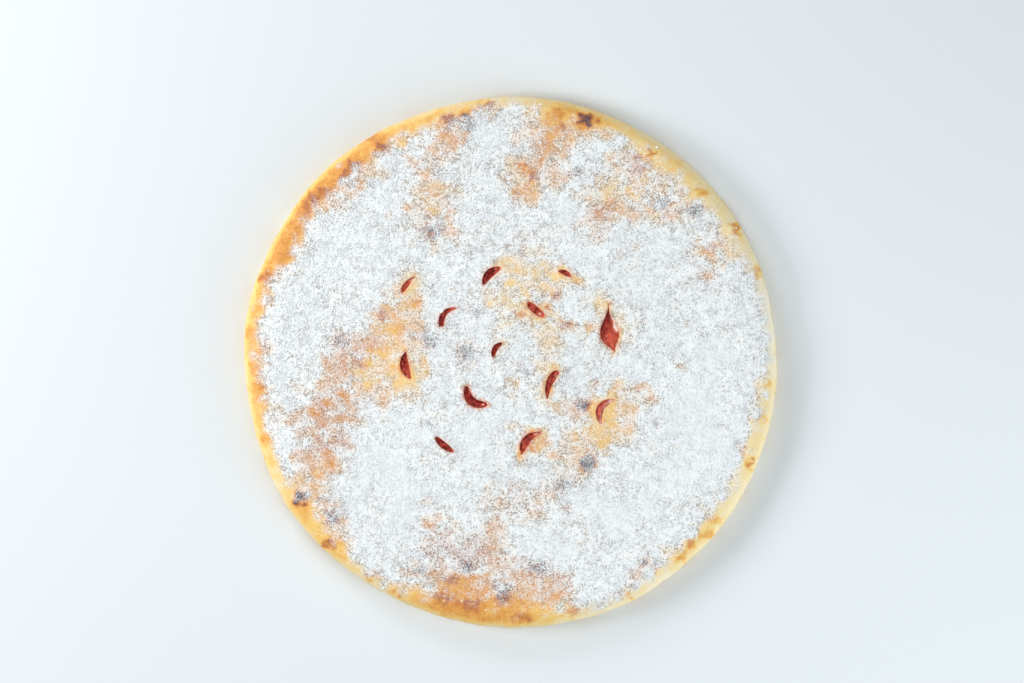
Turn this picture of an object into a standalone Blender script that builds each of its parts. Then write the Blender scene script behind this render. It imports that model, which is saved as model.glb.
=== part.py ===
"""A flat round strawberry pie, baked shut, with small curved vents cut through its top.

The crust is one piece of dough, closed all round except for the vents. The strawberry filling
is one layer that fills the crust and stands a little way up into each vent. Metres, +Z up,
with the origin in the middle of the flat underside.
"""
import math
from collections import namedtuple

import bmesh
import bpy

MM = 0.001

# The outline seen from above: a circle that swells out, or in, at a few places.
# Each swell is a direction in degrees, how far it stands out and its half width in degrees.
PIE_RADIUS = 160.0 * MM
OUTLINE_SWELLS = (
    (8, -0.9 * MM, 9),
    (60, -0.6 * MM, 16),
    (105, -0.7 * MM, 14),
    (137, 1.2 * MM, 13),
    (168, 1.9 * MM, 13),
    (212, 0.7 * MM, 9),
    (246, -1.4 * MM, 17),
    (297, 1.0 * MM, 11),
    (320, 0.5 * MM, 8),
)

# The cross-section: a flat foot, a side that bulges at the waist, and a top that rolls over it
PIE_HEIGHT = 18.6 * MM
CROWN_RISE = 0.9 * MM
WAIST_HEIGHT = 7.0 * MM
FOOT_INSET = 5.0 * MM
RIM_WIDTH = 14.0 * MM
ROLL_POWER = 2.3
SHOULDER_RISE = 0.7 * MM
SHOULDER_INSET = 20.0 * MM
SHOULDER_WIDTH = 8.0 * MM

# The dough's thickness under, over and beside the filling, and the gap that parts the two
DOUGH_UNDER = 3.0 * MM
DOUGH_BESIDE = 9.0 * MM
FILLING_TOP = 15.2 * MM
FILLING_EDGE_ROUND = 2.5 * MM
JOIN_GAP = 0.3 * MM

# How finely the faces divide the surface
TOP_CELLS = 48
RIM_STEPS = 5
FOOT_STEPS = 3
FILLING_SIDES = 72
VENT_CELLS = 8

# The baked top's slow waves: wavelength, direction in degrees, height and phase in degrees
WAVES = (
    (61 * MM, 20, 0.35 * MM, 40),
    (47 * MM, 95, 0.30 * MM, 170),
    (38 * MM, 152, 0.25 * MM, 290),
)

# The largest blisters, which the oven raised and burned: middle, radius and height, all in mm
BLISTER_SIZES = (
    (-25, 144, 9, 1.2),
    (-37, 145, 7, 0.9),
    (44, 146, 8, 1.1),
    (-78, 128, 7, 0.9),
    (-95, 114, 9, 1.0),
    (-118, 99, 8, 0.9),
    (-146, 51, 7, 0.8),
    (-47, 79, 6, 0.8),
    (40, 115, 8, 0.9),
    (13, 113, 7, 0.7),
    (76, 116, 9, 0.9),
    (53, 88, 9, 0.8),
    (92, 94, 8, 0.8),
    (111, 90, 8, 0.9),
    (136, 81, 7, 0.8),
    (-28, 8, 9, 0.9),
    (-48, 15, 8, 0.8),
    (-22, 30, 6, 0.6),
    (43, -26, 7, 0.8),
    (47, -60, 8, 1.0),
    (32, -74, 7, 0.8),
    (-126, -81, 8, 0.9),
    (-107, -92, 7, 0.8),
    (-53, -126, 8, 0.9),
    (-31, -128, 9, 1.0),
    (-5, -137, 8, 1.0),
    (16, -123, 8, 0.9),
    (78, -124, 9, 1.1),
    (107, -109, 8, 0.9),
    (-14, -94, 9, 0.6),
    (147, -34, 9, 0.7),
    (-86, -62, 10, 0.6),
)

# The vents. x and y are the middle of a vent's chord, heading is the chord's direction in
# degrees, bow is how far the vent's middle lies to the left of the chord, and widest says
# how far along the chord it is widest, from 0 to 1. A low taper gives blunt ends and a high
# one drawn-out tips. Lengths are in mm.
Vent = namedtuple("Vent", "x y heading length width bow widest taper")
VENT_SIZES = (
    Vent(-61.1, 46.5, 50, 12.6, 2.9, 1.1, 0.35, 0.80),
    Vent(-37.0, 26.8, 51, 14.3, 3.6, 3.6, 0.25, 0.50),
    Vent(-11.0, 51.2, 44, 14.8, 5.1, 2.4, 0.50, 0.60),
    Vent(32.5, 52.9, -25, 8.1, 2.9, 0.7, 0.50, 0.60),
    Vent(15.2, 31.6, -40, 13.0, 4.3, -0.4, 0.50, 0.38),
    Vent(60.6, 20.5, -83, 28.7, 11.4, -1.8, 0.62, 1.50),
    Vent(-7.5, 7.1, 58, 10.2, 3.4, 2.0, 0.50, 0.55),
    Vent(-61.3, -1.8, -80, 16.2, 5.3, -2.4, 0.52, 0.75),
    Vent(-20.3, -19.8, -41, 16.5, 5.1, -4.7, 0.50, 0.33),
    Vent(25.2, -13.6, -111, 17.6, 4.5, -2.2, 0.30, 0.60),
    Vent(58.1, -29.8, -118, 16.3, 4.5, -4.7, 0.50, 0.60),
    Vent(12.3, -48.5, -131, 16.8, 4.9, -3.2, 0.58, 0.75),
    Vent(-39.5, -49.3, -39, 14.0, 4.0, -0.8, 0.45, 0.50),
)
VENT_FLOOR = 10.0 * MM
VENT_CUT_TOP = 30.0 * MM
LIP_RISE = 0.8 * MM
LIP_REACH = 6.0 * MM
FILLING_DEPTH = 1.0 * MM
FILLING_SAG = 0.7 * MM


def swell(angle):
    """How far the outline stands out from its circle in a direction."""
    total = 0.0
    for direction, rise, half_width in OUTLINE_SWELLS:
        apart = math.degrees(angle) - direction
        apart = (apart + 180) % 360 - 180
        total += rise * math.exp(-(apart / half_width) ** 2)
    return total


def outline_middle():
    """The middle of the outline's own box, measured round its circle once a degree."""
    angles = [math.radians(degree) for degree in range(360)]
    xs = [(PIE_RADIUS + swell(angle)) * math.cos(angle) for angle in angles]
    ys = [(PIE_RADIUS + swell(angle)) * math.sin(angle) for angle in angles]
    return (min(xs) + max(xs)) / 2, (min(ys) + max(ys)) / 2


MIDDLE_X, MIDDLE_Y = outline_middle()


def outline_point(angle, inset):
    """A point this far inside the outline, with the outline's box centred on the origin."""
    radius = PIE_RADIUS + swell(angle) - inset
    return radius * math.cos(angle) - MIDDLE_X, radius * math.sin(angle) - MIDDLE_Y


def outline_inset(x, y):
    """How far inside the outline a point lies."""
    hub_x = x + MIDDLE_X
    hub_y = y + MIDDLE_Y
    return PIE_RADIUS + swell(math.atan2(hub_y, hub_x)) - math.hypot(hub_x, hub_y)


def bump(distance, reach):
    """1 on the spot, falling smoothly to 0 at the reach."""
    if distance >= reach:
        return 0.0
    return (1 - (distance / reach) ** 2) ** 2


def vent_point(vent, along, across, gap=0.0):
    """A point of a vent: along from 0 to 1 between its tips, across from -1 to 1.

    With a gap, the point lies on the outline of a mound that keeps clear of the vent's walls.
    """
    length = vent.length * MM
    bow = vent.bow * MM
    blunt_end = 2 * gap / length
    along = blunt_end + (1 - 2 * blunt_end) * along
    skew = math.log(0.5) / math.log(vent.widest)
    fullness = max(math.sin(math.pi * along ** skew), 0.0) ** vent.taper
    half_width = vent.width * MM / 2 * fullness
    half_width = max(half_width - gap, half_width / 4)
    step = 2 * along - 1
    ahead = step * length / 2
    aside = bow * (1 - step ** 2)
    tangent = math.atan2(-4 * bow * step, length)
    ahead -= across * half_width * math.sin(tangent)
    aside += across * half_width * math.cos(tangent)
    heading = math.radians(vent.heading)
    x = vent.x * MM + ahead * math.cos(heading) - aside * math.sin(heading)
    y = vent.y * MM + ahead * math.sin(heading) + aside * math.cos(heading)
    return x, y


def lip(x, y):
    """How much the dough is raised round the vents."""
    nearest = LIP_REACH
    for vent in VENT_SIZES:
        for step in range(VENT_CELLS + 1):
            spine_x, spine_y = vent_point(vent, step / VENT_CELLS, 0)
            nearest = min(nearest, math.hypot(x - spine_x, y - spine_y))
    return LIP_RISE * bump(nearest, LIP_REACH)


def top_height(x, y):
    """The height of the baked top: a low crown, a puffed shoulder, waves, blisters and lips."""
    inset = outline_inset(x, y)
    height = PIE_HEIGHT + CROWN_RISE * bump(math.hypot(x, y), PIE_RADIUS)
    height += SHOULDER_RISE * bump(abs(inset - SHOULDER_INSET), SHOULDER_WIDTH)
    for length, direction, rise, phase in WAVES:
        travel = x * math.cos(math.radians(direction)) + y * math.sin(math.radians(direction))
        height += rise * math.sin(math.tau * travel / length + math.radians(phase))
    for blister_x, blister_y, radius, rise in BLISTER_SIZES:
        distance = math.hypot(x - blister_x * MM, y - blister_y * MM)
        height += rise * MM * bump(distance, radius * MM)
    return height + lip(x, y)


def add_material(obj, colour, roughness):
    """Gives an object a plain material of its own name."""
    material = bpy.data.materials.new(obj.name)
    material.use_nodes = True
    shader = material.node_tree.nodes["Principled BSDF"]
    shader.inputs["Base Color"].default_value = (*colour, 1)
    shader.inputs["Roughness"].default_value = roughness
    obj.data.materials.append(material)


def add_object(name, bm):
    """Turns a closed bmesh into an object."""
    bmesh.ops.recalc_face_normals(bm, faces=bm.faces)
    mesh = bpy.data.meshes.new(name)
    bm.to_mesh(mesh)
    bm.free()
    obj = bpy.data.objects.new(name, mesh)
    bpy.context.collection.objects.link(obj)
    return obj


def smooth(obj, crease_degrees):
    """Shades an object smooth up to its creases."""
    obj.data.shade_smooth()
    obj.data.set_sharp_from_angle(angle=math.radians(crease_degrees))


def grow_ring(bm, edges, inset, height_at):
    """Extrudes the open edge of a round shell to a new inset and height."""
    grown = bmesh.ops.extrude_edge_only(bm, edges=edges)["geom"]
    verts = [item for item in grown if isinstance(item, bmesh.types.BMVert)]
    for vert in verts:
        angle = math.atan2(vert.co.y + MIDDLE_Y, vert.co.x + MIDDLE_X)
        x, y = outline_point(angle, inset)
        vert.co = (x, y, height_at(x, y))
    new_verts = set(verts)
    edges = [item for item in grown if isinstance(item, bmesh.types.BMEdge)]
    return [edge for edge in edges if new_verts.issuperset(edge.verts)]


def square_to_disc(u, v):
    """Maps a square from -1 to 1 onto a disc, and returns a direction and a share of the radius."""
    if abs(u) >= abs(v):
        if u == 0:
            return 0.0, 0.0
        turn = math.pi / 4 * v / u
        return (turn if u > 0 else turn + math.pi), abs(u)
    turn = math.pi / 2 - math.pi / 4 * u / v
    return (turn if v > 0 else turn + math.pi), abs(v)


def crust_shell():
    """The outer shape of the whole pie, with its relief."""
    bm = bmesh.new()
    bmesh.ops.create_grid(bm, x_segments=TOP_CELLS, y_segments=TOP_CELLS, size=1.0)
    for vert in bm.verts:
        angle, share = square_to_disc(vert.co.x, vert.co.y)
        edge_x, edge_y = outline_point(angle, RIM_WIDTH)
        x = edge_x * share
        y = edge_y * share
        vert.co = (x, y, top_height(x, y))
    edges = [edge for edge in bm.edges if edge.is_boundary]
    for step in range(1, RIM_STEPS + 1):
        turn = math.pi / 2 * step / RIM_STEPS
        inset = RIM_WIDTH * (1 - math.sin(turn) ** (2 / ROLL_POWER))
        share = max(math.cos(turn), 0.0) ** (2 / ROLL_POWER)

        def rim_height(x, y, share=share):
            return WAIST_HEIGHT + (top_height(x, y) - WAIST_HEIGHT) * share

        edges = grow_ring(bm, edges, inset, rim_height)
    for step in range(1, FOOT_STEPS + 1):
        turn = math.pi / 2 * step / FOOT_STEPS
        inset = FOOT_INSET * (1 - max(math.cos(turn), 0.0) ** (2 / ROLL_POWER))
        height = WAIST_HEIGHT * (1 - math.sin(turn) ** (2 / ROLL_POWER))
        edges = grow_ring(bm, edges, inset, lambda x, y, height=height: height)
    bmesh.ops.edgeloop_fill(bm, edges=edges)
    return bm


def filling_layer(gap):
    """The flat layer that the filling takes up, smaller by a gap all round."""
    bm = bmesh.new()
    made = bmesh.ops.create_circle(bm, segments=FILLING_SIDES, radius=1.0)
    low = DOUGH_UNDER + gap
    high = FILLING_TOP - gap
    beside = DOUGH_BESIDE + gap
    for vert in made["verts"]:
        angle = math.atan2(vert.co.y, vert.co.x)
        x, y = outline_point(angle, beside + FILLING_EDGE_ROUND)
        vert.co = (x, y, low)
    foot = list(bm.edges)
    edges = foot
    profile = (
        (beside, low + FILLING_EDGE_ROUND),
        (beside, high - FILLING_EDGE_ROUND),
        (beside + FILLING_EDGE_ROUND, high),
    )
    for inset, height in profile:
        edges = grow_ring(bm, edges, inset, lambda x, y, height=height: height)
    bmesh.ops.edgeloop_fill(bm, edges=edges)
    bmesh.ops.edgeloop_fill(bm, edges=foot)
    return bm


def vent_blocks(gap, height_at):
    """Upright blocks in the outline of each vent, up to a height that may vary over each."""
    bm = bmesh.new()
    for vent in VENT_SIZES:
        made = bmesh.ops.create_grid(bm, x_segments=VENT_CELLS, y_segments=2, size=1.0)
        for vert in made["verts"]:
            along = (1 - math.cos(math.pi * (vert.co.x + 1) / 2)) / 2
            across = vert.co.y
            x, y = vent_point(vent, along, across, gap)
            vert.co = (x, y, height_at(x, y, across))
    bmesh.ops.remove_doubles(bm, verts=bm.verts, dist=0.01 * MM)
    made = bmesh.ops.extrude_face_region(bm, geom=bm.faces[:], use_keep_orig=True)
    for item in made["geom"]:
        if isinstance(item, bmesh.types.BMVert):
            item.co.z = VENT_FLOOR
    return bm


def boolean(obj, operation, other):
    """Joins another object to this one, or cuts this one by it."""
    modifier = obj.modifiers.new(other.name, "BOOLEAN")
    modifier.operation = operation
    modifier.object = other
    other.hide_render = True
    other.display_type = "WIRE"


def build_crust():
    """The dough, hollowed for the filling and cut open at the vents."""
    crust = add_object("crust", crust_shell())
    smooth(crust, 50)
    add_material(crust, (0.80, 0.56, 0.32), 0.7)
    boolean(crust, "DIFFERENCE", add_object("filling_space", filling_layer(0.0)))
    cuts = vent_blocks(0.0, lambda x, y, across: VENT_CUT_TOP)
    boolean(crust, "DIFFERENCE", add_object("vent_cuts", cuts))


def build_filling():
    """The strawberry layer with a low mound in each vent."""
    filling = add_object("strawberry_filling", filling_layer(JOIN_GAP))
    smooth(filling, 50)
    add_material(filling, (0.30, 0.015, 0.012), 0.2)

    def mound_height(x, y, across):
        return top_height(x, y) - FILLING_DEPTH - FILLING_SAG * abs(across)

    boolean(filling, "UNION", add_object("vent_mounds", vent_blocks(JOIN_GAP, mound_height)))


def main():
    """Clears the scene and builds the pie."""
    for obj in list(bpy.data.objects):
        bpy.data.objects.remove(obj, do_unlink=True)
    build_crust()
    build_filling()


main()
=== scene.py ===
"""The looks of a flat round strawberry pie, dusted with icing sugar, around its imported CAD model.

The crust and the filling are modelled afresh, with the sizes of the CAD model and finer relief,
and the sugar lies on the crust as thousands of small grains over a film of powder. Metres,
+Z up, with the origin in the middle of the flat underside.
"""
import math
from collections import namedtuple
from contextlib import contextmanager

import bpy
import numpy as np
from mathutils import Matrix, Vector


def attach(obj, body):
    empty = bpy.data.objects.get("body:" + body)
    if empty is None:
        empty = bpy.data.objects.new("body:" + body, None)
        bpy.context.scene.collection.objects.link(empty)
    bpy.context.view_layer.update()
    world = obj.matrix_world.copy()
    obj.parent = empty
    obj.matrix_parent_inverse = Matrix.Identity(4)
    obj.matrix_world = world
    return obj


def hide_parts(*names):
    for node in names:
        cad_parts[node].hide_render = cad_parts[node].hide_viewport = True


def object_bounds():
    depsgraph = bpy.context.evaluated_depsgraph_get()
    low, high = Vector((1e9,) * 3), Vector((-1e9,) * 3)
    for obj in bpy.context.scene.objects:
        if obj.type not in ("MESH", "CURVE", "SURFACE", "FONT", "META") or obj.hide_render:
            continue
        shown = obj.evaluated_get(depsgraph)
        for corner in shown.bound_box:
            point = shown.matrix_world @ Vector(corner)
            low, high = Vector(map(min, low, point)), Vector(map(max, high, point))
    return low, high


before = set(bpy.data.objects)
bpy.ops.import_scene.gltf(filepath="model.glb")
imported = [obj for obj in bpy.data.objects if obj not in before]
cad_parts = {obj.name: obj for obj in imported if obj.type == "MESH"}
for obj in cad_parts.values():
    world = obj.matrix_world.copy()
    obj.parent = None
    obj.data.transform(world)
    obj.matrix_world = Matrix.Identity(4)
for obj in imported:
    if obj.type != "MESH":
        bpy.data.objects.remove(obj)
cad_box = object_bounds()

MM = 0.001

# The outline seen from above, as in the CAD model: a circle that swells out, or in, at a few
# places. Each swell is a direction in degrees, how far it stands out and its half width.
PIE_RADIUS = 160.0 * MM
OUTLINE_SWELLS = (
    (8, -0.9 * MM, 9),
    (60, -0.6 * MM, 16),
    (105, -0.7 * MM, 14),
    (137, 1.2 * MM, 13),
    (168, 1.9 * MM, 13),
    (212, 0.7 * MM, 9),
    (246, -1.4 * MM, 17),
    (297, 1.0 * MM, 11),
    (320, 0.5 * MM, 8),
)

# The cross-section, as in the CAD model
PIE_HEIGHT = 18.6 * MM
CROWN_RISE = 0.9 * MM
WAIST_HEIGHT = 7.0 * MM
FOOT_INSET = 5.0 * MM
RIM_WIDTH = 14.0 * MM
ROLL_POWER = 2.3
SHOULDER_RISE = 0.7 * MM
SHOULDER_INSET = 20.0 * MM
SHOULDER_WIDTH = 8.0 * MM
DOUGH_UNDER = 3.0 * MM
DOUGH_BESIDE = 9.0 * MM
FILLING_TOP = 15.2 * MM
FILLING_EDGE_ROUND = 2.5 * MM
JOIN_GAP = 0.3 * MM

# How finely the faces divide the surface, and from which angle between them an edge is sharp
CREASE_DEGREES = 50
TOP_CELLS = 208
RIM_STEPS = 15
FOOT_STEPS = 7
VENT_CUTS = 2
VENT_FINE_REACH = 4.0 * MM
FILLING_SIDES = 144
VENT_CELLS = 20
MOUND_GAP = 0.05 * MM
NARROW_VENT = 1.4 * MM
MOUND_CELLS_ALONG = 20
MOUND_CELLS_ACROSS = 8

# The baked top's slow waves: wavelength, direction in degrees, height and phase in degrees
WAVES = (
    (61 * MM, 20, 0.35 * MM, 40),
    (47 * MM, 95, 0.30 * MM, 170),
    (38 * MM, 152, 0.25 * MM, 290),
)

# Finer unevenness of the dough: wavelength, height and seed. A ripple is a sum of plain waves,
# each with a wavelength of its own round the one given.
TOP_RIPPLES = ((17 * MM, 0.10 * MM, 11), (8 * MM, 0.07 * MM, 12), (4.2 * MM, 0.04 * MM, 13))
SIDE_RIPPLES = ((21 * MM, 0.16 * MM, 21), (9 * MM, 0.08 * MM, 22))
SIDE_RIPPLE_FADE = 2 * MM
RIPPLE_WAVES = 16
RIPPLE_SPREAD = (0.75, 1.35)

# Room for the grains of sugar under the CAD model's highest point, and how softly it is kept
GRAIN_ROOM = 0.40 * MM
GRAIN_ROOM_SOFTNESS = 0.15 * MM

# The largest blisters, as in the CAD model: middle, radius and height, all in mm
BLISTERS = (
    (-25, 144, 9, 1.2), (-37, 145, 7, 0.9), (44, 146, 8, 1.1), (-78, 128, 7, 0.9), (-95, 114, 9, 1),
    (-118, 99, 8, 0.9), (-146, 51, 7, 0.8), (-47, 79, 6, 0.8), (40, 115, 8, 0.9), (13, 113, 7, 0.7),
    (76, 116, 9, 0.9), (53, 88, 9, 0.8), (92, 94, 8, 0.8), (111, 90, 8, 0.9), (136, 81, 7, 0.8),
    (-28, 8, 9, 0.9), (-48, 15, 8, 0.8), (-22, 30, 6, 0.6), (43, -26, 7, 0.8), (47, -60, 8, 1),
    (32, -74, 7, 0.8), (-126, -81, 8, 0.9), (-107, -92, 7, 0.8), (-53, -126, 8, 0.9), (-31, -128, 9, 1),
    (-5, -137, 8, 1), (16, -123, 8, 0.9), (78, -124, 9, 1.1), (107, -109, 8, 0.9), (-14, -94, 9, 0.6),
    (147, -34, 9, 0.7), (-86, -62, 10, 0.6),
)

# The vents, as in the CAD model, with three more columns. Flesh is how pale the fruit in a vent
# is, from 0 for dark juice to about 1, halo how far the sugar has melted off the dough round it,
# and glow how far juice has reddened the edge.
Vent = namedtuple("Vent", "x y heading length width bow widest taper flesh halo glow")
VENTS = tuple(Vent(*row) for row in (
    (-61.1, 46.5, 50, 12.6, 2.9, 1.1, 0.35, 0.80, 0.70, 0.20, 0.40),
    (-37.0, 26.8, 51, 14.3, 3.6, 3.6, 0.25, 0.50, 0.25, 0.10, 0.50),
    (-11.0, 51.2, 44, 14.8, 5.1, 2.4, 0.50, 0.60, 0.12, 0.10, 0.40),
    (32.5, 52.9, -25, 8.1, 2.9, 0.7, 0.50, 0.60, 0.35, 0.20, 0.50),
    (15.2, 31.6, -40, 13.0, 4.3, -0.4, 0.50, 0.38, 0.50, 0.20, 0.60),
    (60.6, 20.5, -83, 28.7, 11.4, -1.8, 0.62, 1.50, 0.45, 0.20, 0.60),
    (-7.5, 7.1, 58, 10.2, 3.4, 2.0, 0.50, 0.55, 0.15, 0.15, 0.20),
    (-61.3, -1.8, -80, 16.2, 5.3, -2.4, 0.52, 0.75, 0.30, 0.20, 0.70),
    (-20.3, -19.8, -41, 16.5, 5.1, -4.7, 0.50, 0.33, 0.15, 0.10, 1.00),
    (25.2, -13.6, -111, 17.6, 4.5, -2.2, 0.30, 0.60, 0.35, 0.20, 0.40),
    (58.1, -29.8, -118, 16.3, 4.5, -4.7, 0.50, 0.60, 1.20, 0.20, 0.20),
    (12.3, -48.5, -131, 16.8, 4.9, -3.2, 0.58, 0.75, 0.40, 0.25, 0.90),
    (-39.5, -49.3, -39, 14.0, 4.0, -0.8, 0.45, 0.50, 0.20, 0.10, 0.30),
))
VENT_FLOOR = 10.0 * MM
VENT_CUT_TOP = 30.0 * MM
VENT_EDGE_ROUND = 0.9 * MM
LIP_RISE = 0.8 * MM
LIP_REACH = 6.0 * MM
LIP_SPINE_CELLS = 8
HALO_REACH = 6.0 * MM
STAIN_REACH = 2.8 * MM
LEAST_STAIN_REACH = 0.4 * MM
STAIN_RIPPLE = (5 * MM, 0.25, 71)
CUT_EDGE = 0.05 * MM
FILLING_DEPTH = 1.3 * MM
LEAST_DEPTH_SHARE = 0.3
FILLING_SAG = 0.4 * MM
FRUIT_LUMPS = ((3.1 * MM, 0.35 * MM, 31), (1.6 * MM, 0.15 * MM, 32))

# The rim all round: direction in degrees, how wide the sugar leaves it bare in mm, and how far
# it is baked, in percent
RIM = (
    (0, 5, 7), (5, 5, 6), (10, 4, 4), (15, 4, 4), (20, 6, 10), (25, 7, 14), (30, 9, 12), (34, 9, 14),
    (38, 9, 16), (42, 13, 18), (45, 11, 18), (50, 10, 22), (55, 10, 20), (60, 9, 22), (65, 9, 24),
    (70, 11, 32), (79, 12, 34), (84, 6, 25), (90, 4, 16), (97, 6, 26), (103, 8, 30), (109, 9, 30),
    (114, 10, 32), (118, 11, 36), (122, 11, 40), (128, 11, 43), (132, 12, 44), (136, 12, 44), (143, 11, 46),
    (148, 12, 46), (153, 16, 45), (157, 13, 44), (161, 9, 40), (165, 9, 38), (169, 8.5, 38), (174, 8.5, 40),
    (180, 8.5, 38), (183, 9, 34), (187, 11, 38), (192, 9, 34), (198, 9, 33), (203, 8, 25), (208, 7, 22),
    (212, 9, 30), (215, 12, 35), (220, 10, 28), (226, 11, 39), (230, 8, 25), (236, 5, 18), (241, 4.5, 20),
    (246, 8, 31), (251, 10, 39), (256, 12, 42), (263, 13, 41), (270, 12, 39), (277, 11, 31), (283, 8, 20),
    (288, 5, 16), (293, 5, 12), (298, 6, 12), (303, 7, 10), (308, 8, 14), (312, 10, 20), (316, 10, 18),
    (321, 10, 20), (327, 9, 12), (333, 9, 12), (338, 10, 16), (344, 10, 15), (350, 8, 16), (355, 7, 14),
)

# The rim's browning fades inwards over this length and this share of the rim's width. The
# sugar sets in unevenly round the same width, from this far outside it to as far inside.
RIM_FADE = 4.0 * MM
RIM_FADE_SHARE = 0.2
RIM_UNEVENNESS = (11 * MM, 0.18, 63)
DUSTING_FADE = 5.4 * MM

# How much less the outermost dough is baked, and between which insets that wears off
PALE_EDGE = 0.63
PALE_EDGE_FADE = (0.8 * MM, 5.0 * MM)

# The side: how far it is baked, its unevenness, what the foot adds up to which height, and
# between which heights the top's browning takes over
SIDE_BAKE = 0.22
SIDE_UNEVENNESS = (24 * MM, 0.06, 55)
FOOT_BAKE = 0.15
FOOT_BAKE_HEIGHT = 3 * MM
SIDE_FADE = (6 * MM, 12 * MM)

# A soft oval: its middle, its half widths, an amount, and how much thinner the sugar lies on it
Patch = namedtuple("Patch", "x y half_x half_y amount thin", defaults=(0,))


def patches(rows):
    """Patches from rows with four lengths in mm, then shares in percent."""
    return tuple(
        Patch(*(value * MM for value in row[:4]), *(value / 100 for value in row[4:]))
        for row in rows
    )


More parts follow.
